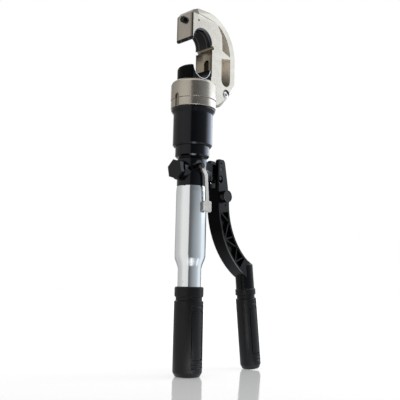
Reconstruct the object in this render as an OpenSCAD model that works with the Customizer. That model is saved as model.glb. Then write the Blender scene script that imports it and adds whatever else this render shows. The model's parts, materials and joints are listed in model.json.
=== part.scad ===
// Hand pumped hydraulic crimping tool with a swivelling C head, in millimetres.
// The tool axis is Z, the grip ends stand on z = 0, the jaw opens towards -X,
// and the moving handle is on the +X side.

/* [Main grip] */
// radius of the rubber grip on the reservoir
grip_r = 21.3; // [18:0.1:24]
// length of the main grip
grip_len = 127; // [110:1:150]
// depth of the groove below the top ring of a grip
grip_groove = 2; // [1:0.1:3]
// height of the top ring of a grip
grip_ring_h = 14; // [8:0.5:20]
// depth of the long side panels of a grip
panel_depth = 0.7; // [0.3:0.1:1.5]
// depth of the narrow groove round a side panel
panel_groove = 1.9; // [1:0.1:2.2]
// width of the narrow groove round a side panel
panel_edge = 1.6; // [1:0.1:3]
// width of the side panels on the main grip
panel_w = 23; // [14:0.5:30]

/* [Reservoir] */
// widest radius of the aluminium reservoir tube
tube_r = 23; // [20:0.1:26]
// radius of the tube at its top edge
tube_top_r = 22.8; // [20:0.1:26]
// radius of the narrow end that carries the main grip
tube_neck_r = 17.6; // [14:0.1:19]
// height of the tube's top edge
tube_top_z = 273.5; // [260:0.5:290]
// height where the taper starts
taper_low_z = 152; // [140:1:160]
// height where the taper ends
taper_high_z = 173; // [165:1:190]
// wall of the tube
tube_wall = 2.6; // [2:0.1:4]

/* [Pump body] */
// radius of the pump body
pump_r = 22; // [18:0.5:24]
// height of the shoulder under the cylinder
pump_top_z = 316; // [310:0.5:325]
// height of the plunger axis
plunger_z = 293; // [285:0.5:300]
// radius of the pump plunger
plunger_r = 6; // [4:0.5:8]
// height of the axis of the hex plug
plug_z = 296; // [290:0.5:300]
// distance from the tool axis to the outer face of the hex plug
plug_face_x = 36; // [32:0.5:40]
// width across the flats of the hex plug
plug_af = 26; // [22:0.5:34]
// turn of the hex plug about its axis
plug_turn = 48; // [0:1:60]

/* [Cylinder] */
// bore of the cylinder
bore_r = 23.35; // [20:0.05:25]
// wall of the main cylinder
cyl_wall = 6.45; // [5:0.05:8]
// step from the main cylinder in to the lower one
cyl_step = 4.1; // [2:0.1:6]
// height of the lower end of the cylinder
cyl_low_z = 317.6; // [312:0.1:325]
// height of the step between the two radii
cyl_step_z = 334; // [328:0.5:345]
// height of the flange that the head turns on
cyl_top_z = 391; // [380:0.5:400]
// wall of the neck inside the head
neck_wall = 4.65; // [4:0.05:6]
// height of the top of the neck
neck_top_z = 425; // [415:0.5:430]

/* [Head] */
// wall of the collar around the neck
collar_wall = 6.6; // [5.5:0.1:9]
// height of the joint between the ring and the collar
collar_low_z = 404; // [398:0.5:410]
// height of the top of the collar
collar_top_z = 433.6; // [428:0.1:440]
// thickness of the C frame
head_t = 35; // [30:0.5:40]
// distance from the tool axis to the front face of the upper jaw
jaw_front_x = 23; // [20:0.5:26]
// distance from the tool axis to the back of the spine
spine_x = 78.5; // [70:0.5:90]
// height of the head above the axis of the upper die seat
jaw_cover = 52.5; // [46:0.5:60]
// bevel of the outer rim, measured in the plane of the C
rim_bevel = 5; // [4:0.5:14]
// bevel of the outer rim, measured across the thickness
rim_bevel_y = 4; // [3:0.5:8]
// radius of the two die seats
die_r = 18; // [14:0.5:22]
// distance between the axes of the two die seats while the ram is drawn back
jaw_open = 39.5; // [38:0.5:50]
// clearance of the throat wall around the ram
throat_gap = 1.7; // [1:0.1:4]
// depth of the pockets in the sides of the spine
pocket_depth = 15; // [3:0.5:16]
// height of the die release button above the upper die seat
button_rise = 13.5; // [10:0.5:18]
// radius of the die release button
button_r = 5; // [4:0.5:6]

/* [Ram] */
// step from the bore of the cylinder out to the ram above it
ram_step = 2.15; // [1:0.05:3]
// height of the ram above the collar while it is drawn back
ram_show = 23.4; // [18:0.1:30]
// height of the lower end of the piston
ram_low_z = 345; // [340:0.5:350]
// travel of the ram
ram_stroke = 35; // [20:1:38]
// width of the ram across the flats beside its die seat
ram_flats = 34.4; // [28:0.1:40]

/* [Moving handle] */
// position of the handle pivot along X
pivot_x = 52.7; // [48:0.1:58]
// height of the handle pivot
pivot_z = 307; // [300:0.5:315]
// radius of the pivot pin
pivot_r = 4; // [3:0.5:6]
// width of the handle arm
arm_w = 24; // [18:0.5:30]
// depth of the handle arm from inside to outside
arm_d = 24; // [16:0.5:26]
// radius of the inner edge of the curved arm
arm_curve_r = 130; // [100:1:160]
// height where the curve starts
arm_curve_z = 258; // [250:1:265]
// distance from the tool axis to the arm's inner edge
arm_in_x = 47.5; // [44:0.5:52]
// angle of the curved part
arm_sweep = 63; // [45:1:66]
// lean of the moving grip
grip_lean = 7.2; // [0:0.1:12]
// distance from the end of the curve out to the top of the moving grip
elbow_out = 3; // [0:0.1:8]
// distance from the end of the curve down to the top of the moving grip
elbow_drop = 26.4; // [20:0.1:34]
// radius of the moving grip
grip2_r = 16.2; // [14:0.1:20]
// radius of the round knob on the arm
knob_r = 9.3; // [6:0.1:12]

/* [Release lever] */
// position of the release spindle along X
release_x = -6; // [-10:0.5:4]
// height of the release spindle
release_z = 302; // [296:0.5:308]
// clearance between the lever's back face and the widest part behind it
lever_gap = 2.8; // [0.3:0.1:4]
// thickness of the lever
lever_t = 2.2; // [1.5:0.1:6]
// width of the lever's bar
lever_w = 6.5; // [4:0.5:9]

/* [Fits] */
// radial clearance of a running fit
run_gap = 0.05; // [0.01:0.01:0.1]
// radial clearance of a fixed fit
fix_gap = 0.02; // [0:0.01:0.1]
// gap between parts that move past each other
free_gap = 0.3; // [0.2:0.05:0.6]

/* [Hidden] */
$fn = 96;
silver = [0.78, 0.77, 0.74];
steel = [0.62, 0.63, 0.65];
gloss_black = [0.05, 0.05, 0.06];
cast_black = [0.09, 0.09, 0.1];
rubber_black = [0.07, 0.07, 0.07];
alu = [0.82, 0.83, 0.86];
lever_grey = [0.68, 0.66, 0.62];
seal_brown = [0.3, 0.22, 0.16];

// reservoir and its inner parts
tube_low_z = 12;
tube_in_r = tube_r - tube_wall - 0.8;
neck_in_r = tube_neck_r - tube_wall;
spigot_r = 18.5;
spigot_low_z = tube_top_z - 12;
nipple_r = 13;
nipple_low_z = spigot_low_z - 12;
suction_x = -4.5;
suction_seat_h = 8;
tube_bulge_z = 235;
neck_screw_z = 134;
neck_screw_r = 1.2;
bladder_low_z = 128;
bladder_wall = 1.4;
strainer_low_z = 185;
strainer_h = 11;
strainer_seat_z = strainer_low_z + strainer_h;

// pump body
boss_face_x = 8 - plug_face_x;
washer_t = 1;
shank_r = 12;
gland_x = 19;
gland_r = 9;
boss_end_x = 30;
lug_half = 6.2;
lug_eye_r = 7;
neck_thread_r = 17;
pump_neck_top_z = 330;
valve_r = 4;
inlet_seat_z = 276;
inlet_r = 4.2;
outlet_x = -12.5;
oil_way_r = 1.5;

// cylinder
cyl_r = bore_r + cyl_wall;
cyl_low_r = cyl_r - cyl_step;
neck_r = bore_r + neck_wall;
floor_top_z = cyl_step_z + 4;
wire_z = 412;
wire_r = 1.4;

// head
half_t = head_t / 2;
collar_r = neck_r + collar_wall;
flange_r = collar_r - 1.2;
ram_r = bore_r + ram_step;
throat_r = ram_r + throat_gap;
ram_top_z = collar_top_z + ram_show;
seat_z = ram_top_z + jaw_open;
head_top_z = seat_z + jaw_cover;
spine_arc_x = 18;
spine_arc_z = head_top_z - 65;
button_z = seat_z + die_r + button_rise;
button_out_x = -28.6;
button_in_x = 6;
button_bore_x = 16;
button_travel = 3;
cross_x = -9.7;
cross_r = 1.5;
catch_x = 1;
catch_r = 2;
key_z = 431;
key_r = 4.7;
key_in_x = ram_r - 7.5;
key_out_x = ram_r + 3.3;
throat_top_z = seat_z - 3.5;
key_slot_h = 7;
slot_x = spine_x - 25.6;
slot_r = 10;
slot_low_z = collar_top_z + 14.4;
slot_h = 33;
slot_rise = 4;
spine_screw_x = spine_x - 23.5;
spine_screw_z = collar_top_z - 8;
spine_screw_r = 6.6;
front_slot_r = 3.8;

// ram
piston_r = bore_r - run_gap;
ram_shoulder_z = neck_top_z + 1;
core_r = 12;
core_top_z = 431;
seal_z = 351;
seal_h = 5;
seal_in_r = piston_r - 2.8;
rod_r = 5;
rod_head_r = 10.5;
rod_head_z = 420;
rod_head_h = 5;
seat_h = 6;
return_coil_r = 8;
return_wire = 1;

// moving handle
link_x = pivot_x - 1.2;
link_r = 3;
plunger_in_x = 2;
plunger_eye_r = 6.4;
half_w = arm_w / 2;
fork_half = lug_half + free_gap;
fork_low_z = 278;
arm_axis_x = arm_in_x + arm_curve_r;
arm_mid_r = arm_curve_r - arm_d / 2;
grip2_x = arm_axis_x - arm_mid_r * cos(arm_sweep) + elbow_out;
grip2_top_z = arm_curve_z - arm_mid_r * sin(arm_sweep) - elbow_drop;
grip2_foot_in = 3.5;
grip2_foot_r = grip2_r - grip2_foot_in;
knob_x = 57.5;
knob_z = 265;
knob_out = 10;
grip2_len = (grip2_top_z - grip2_foot_r * sin(grip_lean)) / cos(grip_lean);
handle_tube_r = 11;
socket_r = 14.5;
socket_h = 37;

// release lever
lever_y = max(tube_r, pump_r) + lever_gap;
hub_in_y = pump_r + 0.5;
lever_bend = [8.2, -12.5];
lever_low = [12, -52];
paddle_w = 15;
paddle_h = 16.5;
paddle_drop = 15;

// A round rod along X.
module rod_x(r, x0, x1, z, y = 0) {
    translate([x0, y, z]) rotate([0, 90, 0]) cylinder(h = x1 - x0, r = r);
}

// A round rod along Y.
module rod_y(r, y0, y1, x, z) {
    translate([x, y0, z]) rotate([-90, 0, 0]) cylinder(h = y1 - y0, r = r);
}

// A round rod along Z.
module rod_z(r, z0, z1, x = 0, y = 0) {
    translate([x, y, z0]) cylinder(h = z1 - z0, r = r);
}

// A shape drawn in the XZ plane, given thickness along Y.
module slab(y0, y1) {
    translate([0, y1, 0]) rotate([90, 0, 0]) linear_extrude(y1 - y0) children();
}

// A round part turned about Z from a half section.
module turned(points) {
    rotate_extrude() polygon(points);
}

// A ring with a round section.
module wire_ring(ring_r, section_r, z) {
    rotate_extrude() translate([ring_r, z]) circle(section_r, $fn = 24);
}

// A flat ring.
module flat_ring(in_r, out_r, z0, z1) {
    turned([[in_r, z0], [out_r, z0], [out_r, z1], [in_r, z1]]);
}

// A rectangle with round corners.
module round_rect(w, h, r) {
    centres = [[w / 2 - r, h - r], [r - w / 2, h - r], [r - w / 2, r], [w / 2 - r, r]];
    polygon([for (i = [0:3]) for (a = [0:15:90])
        centres[i] + r * [cos(90 * i + a), sin(90 * i + a)]]);
}

// The frame of the moving grip: its axis, with zero at the top of the grip.
module on_grip2() {
    translate([grip2_x, 0, grip2_top_z]) rotate([0, -grip_lean, 0]) children();
}

// A cut of even depth into the front and the back of a grip, in the outline given.
module panel_cut(r, depth, low, tall) {
    intersection() {
        difference() {
            rod_z(r + 3, low - 3, low + tall + 3);
            rod_z(r - depth, low - 4, low + tall + 4);
        }
        slab(-r - 4, r + 4) translate([0, low]) children();
    }
}

// A rubber grip that stands on zero, with its top ring, groove, bore, side panels and end ridges.
module grip_shape(r, len, ring_h, bore, end_t, foot_in, panel) {
    foot_h = 6.5;
    ring_z = len - ring_h;
    panel_low = foot_h + 17.5;
    panel_high = ring_z - 20;
    panel_h = panel_high - panel_low;
    outside = [[0, 0], [r - foot_in, 0], [r - 0.7 * foot_in, 0.8], [r - 0.6, foot_h - 1.5], [r, foot_h],
        [r, ring_z - 7], [r - grip_groove, ring_z - 5.5], [r - grip_groove, ring_z - 1.2],
        [r - 0.2, ring_z], [r - 0.2, len - 1.5], [r - 1.6, len]];
    difference() {
        turned(concat(outside, [[bore, len], [bore, end_t], [0, end_t]]));
        panel_cut(r, panel_depth, panel_low, panel_h) round_rect(panel, panel_h, 3);
        panel_cut(r, panel_groove, panel_low, panel_h) difference() {
            translate([0, -0.4]) round_rect(panel + 0.8, panel_h + 0.8, 3.4);
            translate([0, panel_edge]) round_rect(panel - 2 * panel_edge, panel_h - 2 * panel_edge, 2);
        }
        for (z = [panel_high + 6, panel_low - 5, panel_low - 10]) intersection() {
            wire_ring(r + 0.5, 1.8, z);
            translate([-panel / 2, -r - 4, z - 2]) cube([panel, 2 * r + 8, 4]);
        }
    }
}

// The points of one ring of a coil's wire.
function coil_ring(i, n, mean_r, wire, len) = [for (j = [0:5])
    [(mean_r + wire * cos(60 * j)) * cos(45 * i), (mean_r + wire * cos(60 * j)) * sin(45 * i),
     wire + (len - 2 * wire) * i / n + wire * sin(60 * j)]];

// The least gap between one curl and the next, measured on the points.
function coil_gap(n, mean_r, wire, len) = min([for (i = [0, 3]) for (k = [7, 8, 9])
    for (p = coil_ring(i, n, mean_r, wire, len)) for (q = coil_ring(i + k, n, mean_r, wire, len))
    norm(p - q)]);

// A coil spring along Z that starts at zero: one unbroken tube.
module coil(mean_r, wire, len, curls) {
    n = curls * 8;
    points = [for (i = [0:n]) each coil_ring(i, n, mean_r, wire, len)];
    sides = [for (i = [0:n - 1]) for (j = [0:5])
        each [[i * 6 + j, i * 6 + 6 + j, i * 6 + (j + 1) % 6],
              [i * 6 + (j + 1) % 6, i * 6 + 6 + j, i * 6 + 6 + (j + 1) % 6]]];
    caps = [[for (j = [0:5]) j], [for (j = [5:-1:0]) n * 6 + j]];
    echo(curls = curls, least_gap = coil_gap(n, mean_r, wire, len));
    polyhedron(points, concat(sides, caps));
}

module main_grip() {
    color(rubber_black)
        grip_shape(grip_r, grip_len, grip_ring_h, tube_neck_r, 9, 4.5, panel_w);
}

// The little screw through the wall of the tube above the grip.
module neck_screw_rod(r, extra) {
    rotate([0, 0, 192])
        rod_x(r, neck_in_r - 0.5 - extra, tube_neck_r + 0.1 + extra, neck_screw_z);
}

module reservoir_tube() {
    taper_rise = tube_r - tube_neck_r;
    taper = [for (t = [0:1 / 12:1.01]) [tube_neck_r + taper_rise * (1 - cos(180 * t)) / 2,
        taper_low_z + (taper_high_z - taper_low_z) * t]];
    upper = [[tube_r, tube_bulge_z], [tube_top_r, tube_top_z - 3], [tube_top_r - 0.8, tube_top_z],
        [spigot_r, tube_top_z], [spigot_r, spigot_low_z - 2], [tube_in_r, spigot_low_z - 4],
        [tube_in_r, taper_high_z + 2], [neck_in_r, taper_low_z + 2]];
    color(alu) difference() {
        turned(concat([[neck_in_r, tube_low_z], [tube_neck_r, tube_low_z]], taper, upper));
        neck_screw_rod(neck_screw_r, 3);
    }
}

module reservoir_plug() {
    color(steel) difference() {
        rod_z(neck_in_r - fix_gap, tube_low_z, tube_low_z + 12);
        rod_z(4, tube_low_z - 1, tube_low_z + 13);
        for (x = [-8, 8]) rod_z(1.5, tube_low_z - 1, tube_low_z + 5, x);
    }
}

module fill_screw() {
    color(steel) difference() {
        union() {
            rod_z(4 - fix_gap, tube_low_z - 1, tube_low_z + 9);
            rod_z(6, tube_low_z - 2.5, tube_low_z);
        }
        translate([-7, -0.6, tube_low_z - 3]) cube([14, 1.2, 1.5]);
    }
}

module oil_bladder() {
    wide = tube_in_r - 1;
    narrow = neck_in_r - 1.2;
    cuff_r = nipple_r + bladder_wall + 0.2;
    bend_z = taper_low_z - 2;
    full_z = taper_high_z - 1;
    color(rubber_black) turned([[0, bladder_low_z], [narrow - 5, bladder_low_z],
        [narrow - 1, bladder_low_z + 6], [narrow, bend_z], [wide, full_z],
        [wide, spigot_low_z - 21.5], [cuff_r, spigot_low_z - 11], [cuff_r, spigot_low_z - 0.5],
        [nipple_r, spigot_low_z - 0.5], [nipple_r, nipple_low_z - 0.5],
        [wide - bladder_wall, spigot_low_z - 22.5], [wide - bladder_wall, full_z + 0.6],
        [narrow - bladder_wall, bend_z + 0.6], [narrow - 2.2, bladder_low_z + 6.8],
        [narrow - 5.7, bladder_low_z + bladder_wall], [0, bladder_low_z + bladder_wall]]);
}

module bladder_clamp() {
    clamp_r = nipple_r + bladder_wall + 0.2;
    color(steel) flat_ring(clamp_r, clamp_r + 1.4, spigot_low_z - 8, spigot_low_z - 3);
}

module suction_tube() {
    color(steel) difference() {
        rod_z(4 - fix_gap, strainer_seat_z, nipple_low_z + suction_seat_h, suction_x);
        rod_z(3, strainer_low_z, nipple_low_z + suction_seat_h + 1, suction_x);
    }
}

module suction_strainer() {
    color(steel) difference() {
        rod_z(6.5, strainer_low_z, strainer_seat_z + 10, suction_x);
        rod_z(4, strainer_seat_z, strainer_seat_z + 11, suction_x);
        rod_z(5.5, strainer_low_z + 2, strainer_seat_z + 1, suction_x);
        for (a = [0:60:120]) translate([suction_x, 0, strainer_low_z + 3]) rotate([0, 0, a])
            translate([-8, -0.8, 0]) cube([16, 1.6, 7]);
    }
}

module neck_screw() {
    color(gloss_black) neck_screw_rod(neck_screw_r - fix_gap, 0);
}

// The tongue on the pump body that carries the handle pivot.
module pump_lug() {
    slab(-lug_half, lug_half) union() {
        translate([pump_r / 2, pivot_z - lug_eye_r]) square([pivot_x - pump_r / 2, lug_eye_r * 2]);
        translate([pivot_x, pivot_z]) circle(lug_eye_r);
        polygon([[pump_r - 6, release_z], [pump_r + 12, pivot_z + lug_eye_r], [pump_r - 6, pump_top_z]]);
    }
}

// The bores and oil ways of the pump body.
module pump_bores() {
    rod_x(plunger_r + run_gap, -7, boss_end_x + 5, plunger_z);
    rod_x(gland_r, gland_x, boss_end_x + 5, plunger_z);
    rod_x(shank_r, boss_face_x - 5, -15.5, plug_z);
    rod_x(6, -16, -10, plug_z);
    rod_x(2.5, -11, -6, plug_z);
    rod_z(oil_way_r, plug_z, pump_neck_top_z + 1, outlet_x);
    rod_z(inlet_r, inlet_seat_z, plunger_z - 4, suction_x);
    rod_z(2, nipple_low_z - 1, inlet_seat_z + 1, suction_x);
    rod_z(4, nipple_low_z - 1, nipple_low_z + suction_seat_h, suction_x);
    rod_y(valve_r, -pump_r - 1, -8.5, release_x, release_z);
    rod_y(valve_r, 8.5, pump_r + 1, release_x, release_z);
    rod_y(oil_way_r, -9, 9, release_x, release_z);
    rod_z(oil_way_r, release_z, pump_neck_top_z + 1, release_x);
    rod_z(oil_way_r, nipple_low_z - 1, release_z, release_x, -9.6);
    rod_y(pivot_r, -lug_half - 1, lug_half + 1, pivot_x, pivot_z);
}

module pump_body() {
    color(gloss_black) difference() {
        union() {
            turned([[0, nipple_low_z], [nipple_r, nipple_low_z], [nipple_r, spigot_low_z],
                [spigot_r - fix_gap, spigot_low_z], [spigot_r - fix_gap, tube_top_z],
                [pump_r - 0.7, tube_top_z], [pump_r, tube_top_z + 1.5], [pump_r, pump_top_z - 2],
                [pump_r - 2, pump_top_z], [pump_r - 2, cyl_low_z], [neck_thread_r, cyl_low_z],
                [neck_thread_r, pump_neck_top_z], [0, pump_neck_top_z]]);
            rod_x(plug_af / 2 + 2, boss_face_x, 0, plug_z);
            rod_x(13, 0, boss_end_x, plunger_z);
            rod_y(9, -pump_r - 0.1, 0, release_x, release_z);
            pump_lug();
        }
        pump_bores();
        flat_ring(spigot_r - 2, spigot_r + 1, tube_top_z - 6, tube_top_z - 3);
    }
}

module tube_seal() {
    color(seal_brown) flat_ring(spigot_r - 2, spigot_r, tube_top_z - 5.9, tube_top_z - 3.1);
}

module valve_plug() {
    shank_end = -16;
    head_back = boss_face_x - washer_t;
    color(gloss_black) difference() {
        union() {
            translate([-plug_face_x, 0, plug_z]) rotate([0, 90, 0]) rotate([0, 0, plug_turn])
                cylinder(h = plug_face_x + head_back, r = plug_af / sqrt(3), $fn = 6);
            rod_x(shank_r - fix_gap, head_back, shank_end, plug_z);
        }
        rod_x(4.5, -22, shank_end + 1, plug_z);
    }
}

module plug_washer() {
    color(rubber_black) difference() {
        rod_x(plug_af / 2, boss_face_x - washer_t, boss_face_x, plug_z);
        rod_x(shank_r, boss_face_x - 2, boss_face_x + 1, plug_z);
    }
}

module outlet_ball() {
    color(steel) translate([outlet_x + 0.05, 0, plug_z]) sphere(3.48, $fn = 48);
}

module outlet_spring() {
    color(steel) translate([-22, 0, plug_z]) rotate([0, 90, 0]) coil(2.8, 0.45, 6.6, 4);
}

module inlet_ball() {
    color(steel) translate([suction_x, 0, inlet_seat_z + sqrt(5)]) sphere(2.98, $fn = 48);
}

module inlet_cage() {
    color(steel) difference() {
        rod_z(inlet_r - fix_gap, inlet_seat_z + 5.8, inlet_seat_z + 9, suction_x);
        rod_z(1.6, inlet_seat_z + 5, inlet_seat_z + 10, suction_x);
    }
}

module relief_ball() {
    color(steel) translate([release_x, 10.3, release_z]) sphere(2.3, $fn = 48);
}

module relief_spring() {
    color(steel) translate([release_x, 12.4, release_z]) rotate([-90, 0, 0]) coil(2.4, 0.5, 4, 2);
}

module relief_screw() {
    color(steel) difference() {
        rod_y(valve_r - fix_gap, 16.4, pump_r - 0.8, release_x, release_z);
        translate([release_x, pump_r + 1, release_z]) rotate([90, 0, 0])
            cylinder(h = 3.3, r = 2, $fn = 6);
    }
}

module plunger_seal() {
    color(seal_brown) difference() {
        rod_x(gland_r - fix_gap, gland_x, gland_x + 3.5, plunger_z);
        rod_x(plunger_r + run_gap, gland_x - 1, gland_x + 5, plunger_z);
    }
}

module plunger_gland() {
    color(gloss_black) difference() {
        union() {
            rod_x(gland_r - fix_gap, gland_x + 3.5, boss_end_x + 1, plunger_z);
            translate([boss_end_x, 0, plunger_z]) rotate([0, 90, 0])
                cylinder(h = 3, r = 11 / cos(30), $fn = 6);
        }
        rod_x(plunger_r + run_gap, gland_x, boss_end_x + 5, plunger_z);
        translate([boss_end_x - 1, -20, pivot_z - lug_eye_r - free_gap]) cube([10, 40, 20]);
    }
}

// The turned body of the cylinder, with its flange and the neck inside the head.
module cylinder_shell() {
    turned([[neck_thread_r + fix_gap, cyl_low_z], [cyl_low_r - 2, cyl_low_z],
        [cyl_low_r, cyl_low_z + 2], [cyl_low_r, cyl_step_z], [cyl_r - 1.8, cyl_step_z],
        [cyl_r, cyl_step_z + 2.2], [cyl_r, cyl_top_z - 8], [flange_r, cyl_top_z - 2.5],
        [flange_r - 0.6, cyl_top_z], [neck_r, cyl_top_z], [neck_r, neck_top_z - 1],
        [neck_r - 1, neck_top_z], [bore_r, neck_top_z], [bore_r, floor_top_z],
        [0, floor_top_z], [0, pump_neck_top_z + 0.2],
        [neck_thread_r + fix_gap, pump_neck_top_z + 0.2]]);
}

module ram_cylinder() {
    color(gloss_black) difference() {
        cylinder_shell();
        wire_ring(neck_r, wire_r + fix_gap, wire_z);
        rod_z(rod_r, pump_neck_top_z - 1, floor_top_z + 1);
        rod_z(oil_way_r, pump_neck_top_z - 1, floor_top_z + 1, outlet_x);
        rod_z(oil_way_r, pump_neck_top_z - 1, floor_top_z + 1, release_x - 1.5);
    }
}

module spring_rod() {
    color(steel) union() {
        rod_z(rod_r - fix_gap, pump_neck_top_z + 0.4, rod_head_z + 1);
        rod_z(rod_head_r, rod_head_z, rod_head_z + rod_head_h);
    }
}

module swivel_wire() {
    color(steel) wire_ring(neck_r, wire_r, wire_z);
}

module pivot_pin() {
    color(gloss_black) rod_y(pivot_r - fix_gap, -half_w + 0.6, half_w - 0.6, pivot_x, pivot_z);
}

// The outer outline of the C frame.
module head_outline() {
    arc_a = spine_x - spine_arc_x;
    arc_b = head_top_z - spine_arc_z;
    front = [[-jaw_front_x, collar_low_z], [-jaw_front_x, head_top_z - 12.7],
        [5 - jaw_front_x, head_top_z - 6.3], [15 - jaw_front_x, head_top_z - 1.6]];
    back = [for (a = [90:-6:0]) [spine_arc_x + arc_a * cos(a), spine_arc_z + arc_b * sin(a)]];
    foot = [[spine_x, collar_top_z + 18], [spine_x - 1.5, collar_top_z + 9.5],
        [spine_x - 7.5, collar_top_z - 1], [spine_x - 27, collar_low_z + 7],
        [spine_x - 34.5, collar_low_z]];
    polygon(concat(front, back, foot));
}

// The flat side of the C frame inside its bevels: the top bevel ends at a straight line.
module head_side() {
    front_line_z = head_top_z - 11.5;
    back_line_z = head_top_z - 14.3;
    fall = (front_line_z - back_line_z) / 38.8;
    intersection() {
        offset(delta = -rim_bevel) head_outline();
        polygon([[-60, collar_low_z - 20], [100, collar_low_z - 20],
            [100, back_line_z - fall * 79], [-60, front_line_z + fall * 42.2]]);
    }
}

// The solid C frame before its openings, with the bevelled outer rim.
module head_block() {
    front_bevel = 1.5;
    front_h = head_top_z - 13.5 - seat_z;
    hull() {
        slab(-half_t + rim_bevel_y, half_t - rim_bevel_y) head_outline();
        slab(-half_t, half_t) head_side();
        slab(front_bevel - half_t, half_t - front_bevel) translate([-jaw_front_x, seat_z])
            square([2, front_h]);
        slab(-half_t, half_t) translate([front_bevel - jaw_front_x, seat_z]) square([2, front_h]);
        slab(-half_t, half_t) translate([0, collar_low_z]) square([34, 10]);
    }
}

// The collar and the thin skirt that carries the ring below it.
module head_collar() {
    skirt_r = neck_r + 2.4;
    turned([[neck_r - 6, cyl_top_z + 1], [skirt_r, cyl_top_z + 1], [skirt_r, collar_low_z],
        [collar_r - 0.6, collar_low_z], [collar_r, collar_low_z + 0.8], [collar_r, collar_top_z - 7],
        [collar_r - 1.2, collar_top_z - 3.2], [collar_r - 3.8, collar_top_z - 0.9],
        [collar_r - 6.5, collar_top_z], [neck_r - 6, collar_top_z]]);
}

// The open throat of the C, the upper die seat and the bore for the ram.
module head_throat() {
    wall_y = half_t + 20;
    rod_z(ram_r + run_gap, cyl_top_z, collar_top_z + 1);
    rod_z(neck_r + run_gap, cyl_top_z, neck_top_z + free_gap);
    wire_ring(neck_r, wire_r + free_gap + 0.05, wire_z);
    rod_z(ram_r + 0.7, collar_top_z, collar_top_z + 13.4);
    rod_z(throat_r, collar_top_z + 12.4, throat_top_z);
    translate([-90, -wall_y, collar_top_z]) cube([90, 2 * wall_y, seat_z - 1 - collar_top_z]);
    translate([-die_r, -wall_y, seat_z - 20]) cube([2 * die_r, 2 * wall_y, 20]);
    rod_y(die_r, -wall_y, wall_y, 0, seat_z);
    rod_y(3, -wall_y, wall_y, die_r + 3.8, throat_top_z - 1);
    for (s = [-1, 1]) translate([0, s * half_t, seat_z]) rotate([s * 90, 0, 0])
        translate([0, 0, -0.01]) cylinder(h = 2, r1 = die_r + 2, r2 = die_r);
    slab(-wall_y, wall_y) polygon([[-jaw_front_x - 1, seat_z - 2], [-jaw_front_x - 1, seat_z + 2.5],
        [-die_r - 0.4, seat_z - 2]]);
    key_way();
}

// The slot in the throat wall that the ram's key slides in.
module key_way() {
    way_r = key_r + free_gap + 0.05;
    way_top = key_z + ram_stroke + key_slot_h;
    way_in_x = ram_r - 5.5;
    way_out_x = throat_r + 7;
    rod_x(way_r, way_in_x, way_out_x, way_top);
    translate([way_in_x, -way_r, collar_top_z])
        cube([way_out_x - way_in_x, 2 * way_r, way_top - collar_top_z]);
    translate([way_in_x, -way_r, neck_top_z])
        cube([key_out_x + 0.7 - way_in_x, 2 * way_r, collar_top_z + 1 - neck_top_z]);
}

// The pockets in both sides of the spine.
module spine_pockets() {
    arc_a = spine_x - spine_arc_x - 16;
    arc_b = head_top_z - spine_arc_z - 13.5;
    rim = [for (a = [70:-6.5:5]) [spine_arc_x + arc_a * cos(a), spine_arc_z + arc_b * sin(a)]];
    inner_x = spine_x - 34.5;
    inner = [[inner_x + 6.9, spine_arc_z + 8.1], [inner_x + 0.5, spine_arc_z + 10.3],
        [inner_x, spine_arc_z + 21.7], [inner_x - 1.4, spine_arc_z + 34.6]];
    for (s = [-1, 1]) slab(s * half_t - pocket_depth, s * half_t + pocket_depth) union() {
        polygon(concat(rim, inner));
        translate([slot_x, slot_low_z]) circle(slot_r);
        translate([slot_x, slot_low_z]) polygon([[-slot_r, 0], [slot_r, 0], [slot_r, slot_h + slot_rise],
            [-slot_r, slot_h]]);
    }
    for (s = [-1, 1])
        rod_y(spine_screw_r + 1.6, s * half_t - 4, s * half_t + 4, spine_screw_x, spine_screw_z);
    rod_y(spine_screw_r / 2, -half_t, -half_t + 14, spine_screw_x, spine_screw_z);
}

module c_head() {
    color(silver) difference() {
        union() {
            head_block();
            head_collar();
        }
        head_throat();
        spine_pockets();
        rod_x(button_r + run_gap, -40, button_bore_x, button_z);
        rod_y(cross_r, -40, 40, cross_x, button_z - 1);
        rod_z(catch_r + run_gap, seat_z, button_z, catch_x);
        front_slot();
    }
}

// The round ended slot at the front of the collar and the ring.
module front_slot() {
    slot_top = collar_low_z + 3;
    depth = 2;
    rod_x(front_slot_r, -collar_r - 5, -collar_r + depth, slot_top);
    translate([-collar_r - 5, -front_slot_r, cyl_top_z - 1])
        cube([depth + 5, 2 * front_slot_r, slot_top - cyl_top_z + 1]);
}

module swivel_ring() {
    ring_low = cyl_top_z + free_gap;
    color(silver) difference() {
        turned([[neck_r + 2.4 + fix_gap, ring_low], [collar_r - 1.2, ring_low],
            [collar_r - 0.4, ring_low + 0.9], [collar_r - 0.4, collar_low_z - 0.9],
            [collar_r - 1.2, collar_low_z], [neck_r + 2.4 + fix_gap, collar_low_z]]);
        front_slot();
    }
}

module button_pin() {
    color(steel) rod_y(cross_r - fix_gap, -half_t + 4, half_t - 4, cross_x, button_z - 1);
}

module spine_screw() {
    stem_r = spine_screw_r / 2 - fix_gap;
    color(steel) translate([spine_screw_x, -half_t + 4, spine_screw_z]) rotate([90, 0, 0]) difference() {
        turned([[0, -8], [stem_r, -8], [stem_r, 0], [spine_screw_r, 0], [spine_screw_r, 1.2],
            [spine_screw_r - 1.6, 2.8], [spine_screw_r - 3.4, 3.5], [0, 3.5]]);
        translate([0, 0, 1.2]) cylinder(h = 3, r = spine_screw_r / 2.4, $fn = 6);
    }
}

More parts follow.
